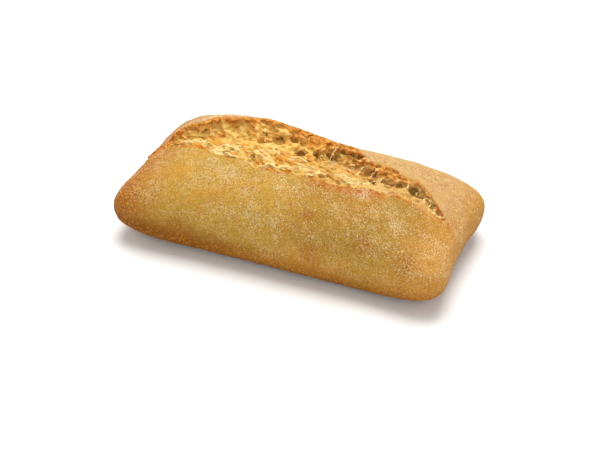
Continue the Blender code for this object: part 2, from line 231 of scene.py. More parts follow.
def inside_tear(mesh):
    """How far each point lies inside the tear: over 0 on the crumb, below 0 on the crust."""
    places = points_of(mesh)
    near, far = lips_at(places[:, 0])
    inside = np.minimum(places[:, 1] - near, far - places[:, 1])
    inside = np.minimum(inside, np.minimum(places[:, 0] - TEAR_START, TEAR_END - places[:, 0]))
    inside[places[:, 2] < LOWEST_CRUMB] = -0.01
    tree = tree_of(mesh)
    behind = (places[:, 1] > far - 0.0002) & (places[:, 1] < far + UNDER_RIM) & (places[:, 2] > LOWEST_CRUMB)
    up = Vector((0, 0, 1))
    for index in np.flatnonzero(behind & (np.abs(places[:, 0]) < TEAR_END)):
        if tree.ray_cast(Vector(places[index]) + up * 0.0003, up, 0.02)[0] is not None:
            inside[index] = 0.002
    return inside


# ---- Modelling tools


def to_scene(piece):
    bpy.context.scene.collection.objects.link(piece)


def deselect():
    bpy.ops.object.select_all(action="DESELECT")


def select_only(piece):
    deselect()
    piece.select_set(True)
    bpy.context.view_layer.objects.active = piece


def apply(piece, kind, **settings):
    """Adds a modifier with these settings and applies it."""
    select_only(piece)
    modifier = piece.modifiers.new(kind.lower(), kind)
    for name, value in settings.items():
        setattr(modifier, name, value)
    bpy.ops.object.modifier_apply(modifier=modifier.name)


def set_group(piece, name, weights):
    """Stores one weight for each point as a vertex group."""
    group = piece.vertex_groups.get(name) or piece.vertex_groups.new(name=name)
    steps = np.round(np.clip(weights, 0, 1) * GROUP_STEPS).astype(int)
    for step in np.unique(steps):
        group.add(np.flatnonzero(steps == step).tolist(), step / GROUP_STEPS, "REPLACE")


def set_attribute(piece, name, values):
    """Stores one number for each point, for the materials to read."""
    attribute = piece.data.attributes.new(name, "FLOAT", "POINT")
    attribute.data.foreach_set("value", np.asarray(values, np.float32))


def texture_of(name, kind, size, **settings):
    """A texture of this kind that turns over about once in size."""
    texture = bpy.data.textures.new(name, kind)
    texture.noise_scale = size
    for setting, value in settings.items():
        setattr(texture, setting, value)
    return texture


def scattered(template, name, frames):
    """One piece of many copies of the template, each with a centre and a 3 by 3 shape."""
    base = points_of(template.data)
    faces = np.array([tuple(face.vertices) for face in template.data.polygons])
    points = np.concatenate([base @ shape.T + centre for centre, shape in frames])
    faces = np.concatenate([faces + len(base) * i for i in range(len(frames))])
    mesh = bpy.data.meshes.new(name)
    mesh.from_pydata(points.tolist(), [], faces.tolist())
    piece = bpy.data.objects.new(name, mesh)
    to_scene(piece)
    return piece


# ---- The loaf


def loaf_from(node):
    """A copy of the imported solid, with its flat facets rounded into one even skin."""
    loaf = node.copy()
    loaf.data = node.data.copy()
    loaf.name = "loaf"
    to_scene(loaf)
    select_only(loaf)
    bpy.ops.object.mode_set(mode="EDIT")
    bpy.ops.mesh.select_all(action="SELECT")
    bpy.ops.mesh.remove_doubles(threshold=WELD)
    bpy.ops.object.mode_set(mode="OBJECT")
    apply(loaf, "REMESH", mode="VOXEL", voxel_size=CRUST_VOXEL)
    set_group(loaf, "crust part", smooth_step(-inside_tear(loaf.data), 0.0002, 0.007))
    apply(loaf, "SMOOTH", factor=0.5, iterations=30, vertex_group="crust part")
    return loaf


class Bed:
    """The loaf's surface, as it is met from above."""

    def __init__(self, loaf):
        self.tree = tree_of(loaf.data)

    def at(self, x, share):
        """The place and its outward normal at x, before centring, this share of the way across the tear."""
        x += CENTRED[0]
        near, far = lips_at(x)
        above = Vector((x, near + (far - near) * share, 0.2))
        place, normal, _, _ = self.tree.ray_cast(above, Vector((0, 0, -1)))
        return place, normal


def height_below_rim(bed, places):
    """How far below the far lip each place is, or a large number in the near half of the tear."""
    xs = np.linspace(TEAR_START + 0.004, TEAR_END - 0.004, 120)
    rims = [bed.at(x, 1.0 + 0.0008 / max(np.diff(lips_at(x + CENTRED[0])).item(), 0.001))[0].z for x in xs]
    near, far = lips_at(places[:, 0])
    below = np.interp(places[:, 0] - CENTRED[0], xs, rims) - places[:, 2]
    return np.where(places[:, 1] > 0.5 * (near + far), below, 0.05)


def cell_places(bed):
    """Where each named cell lies on the crumb, and the direction it faces."""
    places = []
    for x, share, height, *_ in CELLS:
        x = x * MM + CENTRED[0]
        near, far = lips_at(x)
        place, normal, _, _ = bed.tree.find_nearest(Vector((x, near + (far - near) * share, height * MM)))
        places.append((np.array(place), np.array(normal)))
    return places


def tilted(draw, most, second_axis):
    """A small turn about Z and a second axis, as a 3 by 3 array."""
    turn = Matrix.Rotation(draw.uniform(-most, most), 3, "Z")
    return np.array(turn @ Matrix.Rotation(draw.uniform(-most, most), 3, second_axis))


def stretched(draw, lengths, widths, heights):
    """A stretch along each axis, each drawn from its range, as a 3 by 3 array."""
    return np.diag([draw.uniform(*lengths), draw.uniform(*widths), draw.uniform(*heights)])


def named_cells(bed, draw):
    """The centre, size and shape of each of the named cells."""
    found = []
    for (place, normal), (_, _, _, half_length, half_width, sinking, _) in zip(cell_places(bed), CELLS):
        sizes = np.array((half_length, half_width, half_width)) * MM
        found.append((place - normal * sinking * MM, sizes.max(), tilted(draw, 0.2, "Y") @ np.diag(sizes)))
    return found


def small_cells(loaf, bed, found, draw):
    """Adds bubbles all over the crumb to those found, none of them crowding another."""
    inside = inside_tear(loaf.data)
    places, normals = points_of(loaf.data), points_of(loaf.data, "normal")
    near, far = lips_at(places[:, 0])
    below_rim = height_below_rim(bed, places)
    kept = np.array([centre for centre, _, _ in found])
    radii = np.array([0.85 * radius for _, radius, _ in found])
    for index in draw.permutation(np.flatnonzero(inside > 0.0006)):
        radius = SMALLEST_BUBBLE + (LARGEST_BUBBLE - SMALLEST_BUBBLE) * draw.random() ** 2.0
        gaps = np.linalg.norm(kept - places[index], axis=1)
        near_share = (places[index][1] - near[index]) / max(far[index] - near[index], 0.004)
        if (gaps < 0.92 * (radii + radius)).any() or inside[index] < 0.45 * radius:
            continue
        if below_rim[index] < BARE_RIM or (near_share < 0.4 and draw.random() < 0.8):
            continue
        kept, radii = np.vstack((kept, places[index])), np.append(radii, radius)
        turn = tilted(draw, 0.5, "X")
        stretch = stretched(draw, (1.0, 2.2), (0.6, 1.0), (0.5, 0.9))
        centre = places[index] - normals[index] * radius * draw.uniform(-0.4, 0.25)
        found.append((centre, radius, turn @ stretch * radius))
        if len(found) >= BUBBLES:
            break


def strip(name, places, radius):
    """A round strip through these places, thin at both ends, as a closed mesh."""
    curve = bpy.data.curves.new(name, "CURVE")
    curve.dimensions = "3D"
    curve.bevel_depth, curve.bevel_resolution, curve.use_fill_caps = radius, 2, True
    line = curve.splines.new("NURBS")
    line.points.add(len(places) - 1)
    for i, (point, place) in enumerate(zip(line.points, places)):
        point.co = (*place, 1.0)
        point.radius = 0.65 + 0.35 * math.sin(math.pi * i / (len(places) - 1))
    line.use_endpoint_u = True
    line.order_u = 3
    piece = bpy.data.objects.new(name, curve)
    to_scene(piece)
    select_only(piece)
    bpy.ops.object.convert(target="MESH")
    return piece


def torn_shreds(bed, draw):
    """Makes strands across the cells, shreds along the near lip and ridges on the flap.

    Returns them, and the places that each strand and shred passes with its radius.
    """
    made, passed = [], []
    for x, share, end_x, end_share, arch, radius in STRANDS:
        start, _ = bed.at(x, share)
        end, _ = bed.at(end_x, end_share)
        middle = (start + end) / 2 + Vector((draw.uniform(-0.4, 0.4) * MM, 0, arch * MM))
        down = Vector((0, 0, -0.0006))
        places = [start + down, (start + middle) / 2, middle, (end + middle) / 2, end + down]
        made.append(strip("strand", places, radius * MM))
        passed.append((places, radius * MM))
    for x, end_x, share, end_share, radius in SHREDS:
        places = []
        for step in np.linspace(0, 1, 7):
            wobble = draw.uniform(-0.035, 0.035)
            place, normal = bed.at(x + (end_x - x) * step, share + (end_share - share) * step + wobble)
            rise = 0.0003 + 0.0013 * draw.random() * math.sin(math.pi * step)
            places.append(place + normal * rise)
        made.append(strip("shred", places, radius * MM))
        passed.append((places, radius * MM))
    for number in range(FLAP_RIDGES):
        places = []
        for step in np.linspace(0, 1, 6):
            x = FLAP_ENDS[0] + (FLAP_ENDS[1] - FLAP_ENDS[0]) * step + FLAP_RIDGE_SHIFT * number
            depth = FLAP_DEPTHS[0] + FLAP_STEPS[0] * number
            depth += (FLAP_DEPTHS[1] + FLAP_STEPS[1] * number - depth) * step + draw.uniform(-0.2, 0.2)
            rim, far = bed.at(x, 1.0)[0], lips_at(x + CENTRED[0])[1]
            place, normal, _, _ = bed.tree.find_nearest(Vector((rim.x, far, rim.z - depth * MM)))
            places.append(place + normal * 0.0004)
        made.append(strip("ridge", places, FLAP_RIDGE_RADIUS * MM))
    return made, passed


def lip_heading(x, lip):
    """The angle that this lip, 0 near or 1 far, makes with the loaf's length at x."""
    ends = [lips_at(x + CENTRED[0] + step)[lip] for step in (-0.002, 0.002)]
    return math.atan((ends[1] - ends[0]) / 0.004)


def lip_crags(bed, ball, draw):
    """Lumps of torn crust: on the wall below the far lip, along the near lip and at the tear's broad end."""
    frames = []
    for number in range(FAR_CRAGS + NEAR_CRAGS + TIP_CRAGS):
        on_far, on_tip = number < FAR_CRAGS, number >= FAR_CRAGS + NEAR_CRAGS
        if on_far:
            x = draw.uniform(-0.108, 0.102)
        else:
            x = draw.choice((draw.uniform(-0.1, 0.1), draw.uniform(0.03, 0.09)))
        lips = lips_at(x + CENTRED[0])
        width = max(lips[1] - lips[0], 0.004)
        if on_far:
            rim, _ = bed.at(x, 1.0 + 0.0006 / width)
            aim = Vector((rim.x, lips[1] - 0.001, rim.z - 0.0055 * draw.random() ** 1.5))
            place, normal, _, _ = bed.tree.find_nearest(aim)
        elif on_tip:
            share = draw.random()
            aim = Vector([np.interp(share, (0.0, 0.5, 1.0), axis) for axis in zip(*TIP_FLAP)])
            aim.z += draw.uniform(-0.001, 0.001)
            place, normal, _, _ = bed.tree.find_nearest(aim)
        else:
            place, normal = bed.at(x, draw.uniform(-0.0008, 0.0012) / width)
        if place is None or place.z < LOWEST_CRUMB:
            continue
        size = (draw.uniform(0.7, 1.5) if on_far or on_tip else draw.uniform(0.35, 0.75)) * MM
        size *= 1.1 if on_tip else 0.55 if x > NARROW_END else 1.0
        heading = TIP_HEADING if on_tip else lip_heading(x, int(on_far))
        turn = np.array(Matrix.Rotation(heading + draw.uniform(-0.5, 0.5), 3, "Z"))
        shape = turn @ stretched(draw, (1.0, 2.4), (0.6, 1.0), (0.5, 0.9)) * size
        sinking = 0.0 if on_tip else 0.3 * size
        frames.append((np.array(place) - np.array(normal) * sinking, shape))
    return scattered(ball, "crags", frames)


def join_into(loaf, pieces):
    """Makes these pieces part of the loaf's mesh."""
    select_only(loaf)
    for piece in pieces:
        piece.select_set(True)
    bpy.ops.object.join()


def break_crumb(loaf, bed):
    """Opens cells all over the crumb, and returns where the strands and shreds left in it run."""
    draw = np.random.default_rng(CRUMB_SEED)
    deselect()
    bpy.ops.mesh.primitive_ico_sphere_add(subdivisions=3, radius=1)
    ball = bpy.context.active_object
    found = named_cells(bed, draw)
    small_cells(loaf, bed, found, draw)
    cells = scattered(ball, "cells", [(centre, shape) for centre, _, shape in found])
    apply(cells, "REMESH", mode="VOXEL", voxel_size=CELL_VOXEL)
    lumps = texture_of("lumps", "CLOUDS", CELL_LUMP_SIZE)
    apply(cells, "DISPLACE", texture=lumps, strength=CELL_LUMP)
    shreds, passed = torn_shreds(bed, draw)
    additions = shreds + [lip_crags(bed, ball, draw)]
    apply(loaf, "BOOLEAN", object=cells, operation="DIFFERENCE", solver="MANIFOLD")
    bpy.data.objects.remove(cells)
    bpy.data.objects.remove(ball)
    join_into(loaf, additions)
    apply(loaf, "REMESH", mode="VOXEL", voxel_size=CRUMB_VOXEL)
    inside = inside_tear(loaf.data)
    set_group(loaf, "crumb part", np.clip((inside + 0.0012) / 0.0015, 0, 1))
    deselect()
    bpy.ops.object.empty_add(rotation=(0, 0, PULL_HEADING))
    pull = bpy.context.active_object
    pull.scale.x = PULL
    bpy.context.view_layer.update()
    for name, kind, size, strength, middle, settings in CRUMB_RELIEF:
        texture = texture_of(name, kind, size, **settings)
        apply(
            loaf, "DISPLACE", texture=texture, texture_coords="OBJECT", texture_coords_object=pull,
            strength=strength, mid_level=middle, vertex_group="crumb part",
        )  # fmt: skip
    bpy.data.objects.remove(pull)
    apply(loaf, "SMOOTH", factor=0.5, iterations=2, vertex_group="crumb part")
    heights = points_of(loaf.data)[:, 2]
    set_group(loaf, "skin part", np.clip(-inside / 0.003, 0, 1) * smooth_step(heights, 0.0015, 0.006))
    blisters = texture_of("blisters", "CLOUDS", BLISTER_SIZE)
    apply(loaf, "DISPLACE", texture=blisters, strength=BLISTER, vertex_group="skin part")
    return passed


def press_scar(loaf):
    """Sinks the old crust along the near lip at the tear's narrow end, and keeps the base on the ground."""
    places = points_of(loaf.data)
    near, _ = lips_at(places[:, 0])
    before = near - places[:, 1]
    share = smooth_step(places[:, 0], 0.058, 0.066) * smooth_step(-places[:, 0], -0.1, -0.092)
    share = share * smooth_step(before, -0.001, 0.0004) * smooth_step(-before, -0.0054, -0.004)
    share = share * (places[:, 2] > LOWEST_CRUMB)
    places[:, 2] = np.maximum(places[:, 2] - SCAR_DEPTH * share, 0)
    loaf.data.vertices.foreach_set("co", places.ravel())
    loaf.data.update()


def thin_out(loaf):
    """Takes triangles out of the even crust, and leaves them in the crumb."""
    inside = inside_tear(loaf.data)
    apply(loaf, "TRIANGULATE")
    set_group(loaf, "even part", np.clip((-inside - 0.001) / 0.002, 0, 1))
    share = MOST_TRIANGLES / len(loaf.data.polygons)
    if share < 1:
        apply(loaf, "DECIMATE", ratio=share, vertex_group="even part", vertex_group_factor=1.0)


def hidden_share(mesh, chosen):
    """For each chosen point, the share of the sky that the bread round it hides."""
    places, normals, tree = points_of(mesh), points_of(mesh, "normal"), tree_of(mesh)
    directions = []
    for i in range(SKY_RAYS):
        height = 1 - (1 - LOWEST_RAY) * (i + 0.5) / SKY_RAYS
        turn, level = i * math.pi * (3 - math.sqrt(5)), math.sqrt(1 - height**2)
        directions.append(Vector((math.cos(turn) * level, math.sin(turn) * level, height)))
    hidden = np.zeros(len(places))
    for index in np.flatnonzero(chosen):
        start = Vector(places[index] + normals[index] * 0.0002)
        hits = sum(tree.ray_cast(start, direction, SKY_REACH)[0] is not None for direction in directions)
        hidden[index] = hits / SKY_RAYS
    return hidden


def blurred(mesh, values, rounds):
    """Each point's value evened out with its neighbours'."""
    ends = np.empty(len(mesh.edges) * 2, int)
    mesh.edges.foreach_get("vertices", ends)
    starts, stops = ends.reshape(-1, 2).T
    count = np.bincount(starts, minlength=len(values)) + np.bincount(stops, minlength=len(values))
    for _ in range(rounds):
        around = np.bincount(starts, values[stops], len(values))
        around = around + np.bincount(stops, values[starts], len(values))
        values = 0.5 * values + 0.5 * around / np.maximum(count, 1)
    return values


def cell_darkness(bed, places):
    """How dark the named cells make each place, 0 to 1: deeper crumb and painted shade."""
    darkness = np.zeros(len(places))
    for (centre, _), (_, _, _, half_length, half_width, _, tone) in zip(cell_places(bed), CELLS):
        offset = (places - centre) / (np.array((half_length, 1.3 * half_width, 1.3 * half_width)) * MM)
        darkness = np.maximum(darkness, tone * smooth_step(-np.linalg.norm(offset, axis=1), -1.25, -0.55))
    return darkness


def nearness(places, passed):
    """How near each place is to one of the strands or shreds, 0 to 1."""
    line, radii = [], []
    for path, radius in passed:
        for start, end in zip(path, path[1:]):
            line += [start.lerp(end, share) for share in (0.0, 0.25, 0.5, 0.75)]
            radii += [radius] * 4
    tree = KDTree(len(line))
    for index, place in enumerate(line):
        tree.insert(place, index)
    tree.balance()
    gaps = np.full(len(places), 1.0)
    low, high = np.min(line, axis=0) - 0.002, np.max(line, axis=0) + 0.002
    for index in np.flatnonzero(((places > low) & (places < high)).all(axis=1)):
        _, nearest, gap = tree.find(places[index])
        gaps[index] = gap - radii[nearest]
    return smooth_step(-gaps, -0.0008, 0.0)


def record_finish(loaf, bed, passed):
    """Stores what the material reads: where the crumb is, how far each place lies from the lips, how proud it
    is, how hidden, and how near to a strand or a named cell.
    """
    mesh = loaf.data
    inside = inside_tear(mesh)
    places, normals = points_of(mesh), points_of(mesh, "normal")
    near, far = lips_at(places[:, 0])
    torn = inside.copy()
    for index in np.flatnonzero(np.abs(inside) < 0.003):
        coarse, fine = rough(places[index], 0.0028, 9), rough(places[index], 0.0012, 13)
        torn[index] += RAGGED_EDGE * (coarse + 0.7 * fine)
    past_ends = np.maximum(np.abs(places[:, 0] - TEAR_MIDDLE) - HALF_TEAR, 0)
    for name, values in {
        "crumb": smooth_step(torn, -0.0003, 0.0004),
        "fibre": nearness(places, passed),
        "lip": np.where(torn < 0, smooth_step(torn, -0.006, 0.0), 1.0),
        "across": np.clip((places[:, 1] - near) / np.maximum(far - near, 0.001), -1, 2),
        "beyond": (places[:, 1] - far + past_ends) / MM,
        "before": (near - places[:, 1] + past_ends) / MM,
        "hidden": blurred(mesh, hidden_share(mesh, inside > -0.001), 2),
        "below_rim": np.clip(height_below_rim(bed, places) / MM, -5, 30),
        "dark": cell_darkness(bed, places),
    }.items():
        set_attribute(loaf, name, values)
    soft = loaf.copy()
    soft.data = mesh.copy()
    to_scene(soft)
    apply(soft, "SMOOTH", factor=0.5, iterations=14)
    proud = ((places - points_of(soft.data)) * normals).sum(axis=1)
    bpy.data.objects.remove(soft)
    set_attribute(loaf, "proud", np.clip(0.5 + proud / PROUD_RANGE, 0, 1))


def flour_grains(loaf):
    """Coarse grains of flour baked into the crust, thicker in drifts."""
    draw = np.random.default_rng(FLOUR_SEED)
    mesh = loaf.data
    inside = inside_tear(mesh)
    corners = np.empty(len(mesh.polygons) * 3, int)
    mesh.polygons.foreach_get("vertices", corners)
    corners = corners.reshape(-1, 3)
    places, normals = points_of(mesh), points_of(mesh, "normal")
    a, b, c = (places[corners[:, i]] for i in range(3))
    middles = (a + b + c) / 3
    area = np.linalg.norm(np.cross(b - a, c - a), axis=1) / 2
    area[(inside[corners].max(axis=1) > -0.0006) | (middles[:, 2] < 0.004)] = 0
    frames = []
    for face in draw.choice(len(corners), GRAINS * 3, p=area / area.sum()):
        x, _, z = middles[face]
        drift = 0.5 + 0.9 * rough(middles[face], 0.014, 5) + 0.5 * rough(middles[face], 0.004, 7)
        drift *= smooth_step(z, 0.002, 0.04 if x < 0 else 0.024) * 0.7 + 0.3
        if draw.random() > drift or len(frames) >= GRAINS:
            continue
        shares = draw.dirichlet((1, 1, 1))
        place = shares @ places[corners[face]]
        normal = Vector(shares @ normals[corners[face]]).normalized()
        size = draw.uniform(SMALLEST_GRAIN, LARGEST_GRAIN) * (1.3 if draw.random() < 0.12 else 1.0)
        turn = normal.to_track_quat("Z", "Y").to_matrix() @ Matrix.Rotation(draw.uniform(0, math.tau), 3, "Z")
        shape = np.array(turn) @ stretched(draw, (0.8, 1.5), (0.7, 1.1), (0.5, 0.8)) * size
        frames.append((place + np.array(normal) * size * 0.15, shape))
    deselect()
    bpy.ops.mesh.primitive_ico_sphere_add(subdivisions=1, radius=1)
    template = bpy.context.active_object
    grains = scattered(template, "flour_grains", frames)
    bpy.data.objects.remove(template)
    return grains


# ---- Materials


class Finish:
    """One material and its nodes."""

    def __init__(self, name):
        self.material = bpy.data.materials.new(name)
        self.material.use_nodes = True
        self.nodes = self.material.node_tree.nodes
        self.links = self.material.node_tree.links
        self.surface = self.nodes["Principled BSDF"]
        self.place = self.nodes.new("ShaderNodeTexCoord").outputs["Object"]

    def set(self, socket, value):
        """Links a value from another node, or sets it on the socket itself."""
        if isinstance(value, bpy.types.NodeSocket):
            self.links.new(value, socket)
        else:
            socket.default_value = value

    def node(self, kind, **inputs):
        node = self.nodes.new(kind)
        for name, value in inputs.items():
            self.set(node.inputs[name], value)
        return node

    def coated(self, values):
        """The material, with these values for its surface."""
        for name, value in values.items():
            self.set(self.surface.inputs[name], value)
        return self.material

    def math(self, operation, *values, kind="ShaderNodeMath"):
        node = self.nodes.new(kind)
        node.operation = operation
        for socket, value in zip(node.inputs, values):
            self.set(socket, value)
        return node.outputs["Value"]

    def plus(self, total, *values):
        for value in values:
            total = self.math("ADD", total, value)
        return total

    def times(self, total, *values):
        for value in values:
            total = self.math("MULTIPLY", total, value)
        return total

    def step(self, value, low, high, start=0.0, end=1.0):
        """Goes smoothly from start to end while the value goes from low to high."""
        node = self.node("ShaderNodeMapRange", Value=value)
        node.interpolation_type = "SMOOTHSTEP"
        limits = (high, low, end, start) if low > high else (low, high, start, end)
        for socket, limit in zip(node.inputs[1:5], limits):
            socket.default_value = limit
        return node.outputs[0]

    def attribute(self, name):
        node = self.nodes.new("ShaderNodeAttribute")
        node.attribute_name = name
        return node.outputs["Fac"]

    def axes(self):
        return self.node("ShaderNodeSeparateXYZ", Vector=self.place).outputs

    def measured(self, noises, *names):
        """These noises and attributes by name, with x and z."""
        found = {name: self.noise(*numbers) for name, numbers in noises.items()}
        found.update((name, self.attribute(name)) for name in names)
        found["x"], _, found["z"] = self.axes()
        return found

    def noise(self, size, detail=2.0, rough=0.5, seed=0.0, stretch=(1, 1, 1)):
        """Soft noise, about 0.3 to 0.7, that turns over once in size."""
        shift = (seed, seed * 0.7, -seed)
        place = self.node("ShaderNodeMapping", Vector=self.place, Location=shift, Scale=stretch).outputs[0]
        node = self.node("ShaderNodeTexNoise", Vector=place, Scale=1 / size, Detail=detail, Roughness=rough)
        return node.outputs["Fac"]

    def spot(self, centre, radius):
        """1 at the centre, 0 at the radius."""
        gap = self.math("DISTANCE", self.place, centre, kind="ShaderNodeVectorMath")
        return self.step(gap, radius, radius * 0.2)

    def spots(self, rows):
        """The sum of all the spots in a table, each as strong as its row says."""
        return self.plus(*(self.times(self.spot(place, radius), *strong) for place, radius, *strong in rows))

    def mix(self, share, first, second, blend="MIX"):
        node = self.nodes.new("ShaderNodeMix")
        node.data_type = "RGBA"
        node.blend_type = blend
        self.set(node.inputs["Factor"], share)
        self.set(node.inputs[6], first)
        self.set(node.inputs[7], second)
        return node.outputs[2]

    def layered(self, colour, layers, measures):
        """Lays the tones of a table over the colour, each where all of its limits agree."""
        for _, tone, share, *limits in layers:
            for name, *numbers in limits:
                measure = measures[name]
                share = self.times(self.step(measure, *numbers) if numbers else measure, share)
            colour = self.mix(share, colour, measures[tone] if isinstance(tone, str) else srgb(*tone))
        return colour

    def ramp(self, value, stops):
        node = self.nodes.new("ShaderNodeValToRGB")
        elements = node.color_ramp.elements
        while len(elements) < len(stops):
            elements.new(0.5)
        for element, (place, tone) in zip(elements, stops):
            element.position, element.color = place, srgb(*tone)
        self.set(node.inputs[0], value)
        return node.outputs[0]

    def bump(self, height, distance, strength=1.0, under=None):
        node = self.node("ShaderNodeBump", Strength=strength, Distance=distance, Height=height)
        if under is not None:
            self.set(node.inputs["Normal"], under)
        return node.outputs[0]


# fmt: off
# Soft dents in the front of the crust, their middle darker, partly browner crust and partly painted shade in
# the dent: place and radius in metres, and how much darker their middle is. The next three tables have places
# and radii only.
SHADED_DENTS = (
    ((0.023, -0.0416, 0.0507), 0.006, 0.9), ((0.0624, -0.0459, 0.0427), 0.011, 0.6),
    ((0.0935, -0.0502, 0.0374), 0.01, 0.5), ((-0.0647, -0.0572, 0.0258), 0.016, 0.45),
    ((0.03, -0.05, 0.03), 0.012, 0.5),
)
# Small pits by the near lip and the curled flap at the tear's broad end, toasted dark
TOASTED_PITS = (
    ((0.0715, -0.0046, 0.0535), 0.0028), ((0.0482, -0.015, 0.0587), 0.003),
    ((-0.1108, -0.0115, 0.0398), 0.004), ((-0.1092, -0.006, 0.0412), 0.0045),
    ((-0.1068, 0.001, 0.0428), 0.004),
)
# Thin pale films stretched inside the cells
PALE_FILMS = (
    ((0.0159, 0.0175, 0.0527), 0.005), ((0.0459, 0.0145, 0.0579), 0.0055), ((-0.0555, 0.0042, 0.0577), 0.005),
)
# Where flour lies thicker on the crust
FLOUR_PATCHES = (
    ((0.0502, -0.0154, 0.0585), 0.011), ((0.0819, -0.027, 0.049), 0.012), ((0.1082, -0.0496, 0.0343), 0.009),
    ((-0.0459, -0.032, 0.0572), 0.018), ((0.0112, -0.0271, 0.0602), 0.011), ((-0.08, 0.04, 0.06), 0.02),
    ((-0.004, -0.0268, 0.0611), 0.009), ((0.0767, -0.0299, 0.0503), 0.006), ((0.03, 0.055, 0.04), 0.02),
)

# Noise on the crust and in the crumb: size in metres, detail, roughness, seed and stretch
CRUST_NOISE = {
    "broad": (0.045, 3, 0.55, 3.1), "medium": (0.01, 3, 0.6, 7.7), "grain": (0.0018, 2, 0.6, 1.3),
    "mottle": (0.0046, 4, 0.65, 101.0), "toast": (0.006, 3, 0.6, 11.0), "drift": (0.014, 3, 0.6, 21.0),
    "streak": (0.0018, 2, 0.6, 107.0, (0.35, 1, 1)), "clump": (0.004, 2, 0.6, 23.0),
    "dust": (0.0011, 2, 0.7, 31.0), "fine": (0.0009, 0, 0.5, 41.0), "pebble": (0.0014, 2, 0.6, 103.0),
}
CRUMB_NOISE = {
    "patches": (0.007, 3, 0.6, 51.0), "shreds": (0.002, 2, 0.6, 61.0, (0.45, 1, 1)),
    "warmth": (0.0065, 3, 0.6, 81.0), "ragged": (0.004, 2, 0.6, 91.0),
    "streaks": (0.0014, 1, 0.6, 97.0, (0.25, 1, 1)),
}

# Colours along ramps, as they look on screen, 0 to 255
CRUST_RAMP = ((0.38, (168, 130, 48)), (0.46, (174, 134, 48)), (0.54, (181, 134, 48)), (0.64, (178, 122, 40)))
CRUMB_RAMP = ((0.38, (214, 190, 124)), (0.46, (206, 168, 88)), (0.54, (200, 150, 62)), (0.64, (192, 126, 40)))
RIM_RAMP = ((0.38, (170, 88, 18)), (0.5, (196, 118, 36)), (0.62, (218, 156, 72)))
CELL_RAMP = ((0.44, (182, 142, 60)), (0.54, (194, 120, 40)))
FLAP_RAMP = ((0.42, (148, 78, 16)), (0.52, (196, 126, 46)), (0.6, (226, 184, 116)))
GRAIN_RAMP = ((0.35, (222, 196, 142)), (0.65, (200, 162, 96)))
WHITE_FLOUR, LOW_FLOUR, LOW_GRAINS = (222, 200, 156), (196, 136, 50), (208, 156, 72)
# The first colour here is painted shade, multiplied over the front of the crust at the right
PAINTED_FRONT_SHADE, DARK_TOAST, GROUND = (224, 222, 208), (160, 78, 12), (246, 245, 243)

# Tones laid over a colour in turn: what each is, its colour or the name of a measured one, how strong it is
# at most, and its limits. A limit names what is measured, where the tone starts and is full, and at times its
# share at each. One without numbers is a share itself. x and z are in metres, and how far a place lies beyond
# the far lip, before the near lip or below the rim is in mm.
CRUST_TONES = (
    ("left end", (152, 82, 12), 1.0, ("x", -0.07, -0.114), ("medium", 0.3, 0.6, 0.65, 1.0)),
    ("right end", (190, 132, 56), 0.7, ("x", 0.06, 0.112)),
    # the lower half and the foot, darkest at the left, grow darker towards the base: partly browner baked
    # crust, partly painted shade
    ("lower half", (148, 96, 24), 1.0, ("z", 0.034, 0.01), ("medium", 0.25, 0.65, 0.45, 0.75)),
    ("left foot", (92, 38, 0), 0.95, ("x", 0.02, -0.075), ("z", 0.036, 0.012)),
    ("foot", (130, 76, 2), 0.85, ("z", 0.026, 0.006)),
    # painted contact shadow: the crust darkest along the edge of the base, where it meets the ground
    ("edge of the base", (70, 30, 0), 0.9, ("z", 0.009, 0.001)),
)
MARK_TONES = (
    ("back right", (204, 160, 96), 1.0, ("beyond", 0.5, 3.0), ("x", 0.026, 0.04), ("x", 0.112, 0.096),
     ("z", 0.02, 0.045), ("medium", 0.3, 0.6, 0.3, 0.55)),
    ("back left", (188, 130, 62), 0.65, ("beyond", 3.0, 5.0), ("beyond", 22.0, 10.0), ("x", -0.02, -0.04),
     ("z", 0.036, 0.048)),
    # partly browner crust and partly painted shade in the dents
    ("dents", (148, 90, 24), 1.0, ("dents",)),
    ("dark mottle", (150, 96, 30), 1.0, ("mottle", 0.5, 0.36, 0.0, 0.24)),
    ("light mottle", (218, 172, 86), 0.16, ("mottle", 0.5, 0.64), ("z", 0.01, 0.036)),
    ("browned back", (176, 108, 46), 0.45, ("beyond", 0.5, 3.0), ("x", 0.02, 0.04), ("z", 0.024, 0.044),
     ("medium", 0.52, 0.62)),
)
TOAST_TONES = (
    ("both lips", (184, 104, 26), 1.0, ("lip", 0.6, 0.98), ("toast", 0.34, 0.56),
     ("open", 0.0, 1.0, 0.25, 0.85), ("narrow", 1.0, 0.0, 0.3, 1.0)),
    ("broad end", (180, 88, 18), 0.9, ("x", -0.096, -0.102), ("beyond", -1.0, 0.0), ("beyond", 4.5, 2.0)),
    ("near band", (164, 86, 14), 1.0, ("x", 0.008, 0.024), ("x", 0.078, 0.064), ("band", 7.5, 3.2),
     ("before", -4.0, -1.0), ("streak", 0.34, 0.56, 0.25, 0.95)),
    ("scar", (200, 152, 76), 0.75, ("x", 0.058, 0.068), ("x", 0.1, 0.086), ("depth", 5.0, 3.6),
     ("before", -1.0, 0.0)),
    ("edge of the scar", (172, 94, 26), 0.8, ("x", 0.058, 0.068), ("x", 0.1, 0.086), ("depth", 3.0, 4.4),
     ("depth", 7.2, 5.2), ("medium", 0.36, 0.54)),
    ("far band", (188, 112, 40), 0.8, ("beyond", -0.5, 0.5), ("beyond", 4.5, 1.5),
     ("x", 0.052, 0.04, 0.2, 1.0), ("toast", 0.38, 0.58)),
    ("thin far edge", (166, 96, 30), 0.8, ("beyond", -0.8, 0.0), ("beyond", 1.8, 0.9),
     ("x", 0.048, 0.06), ("x", 0.112, 0.104), ("toast", 0.32, 0.5)),
)
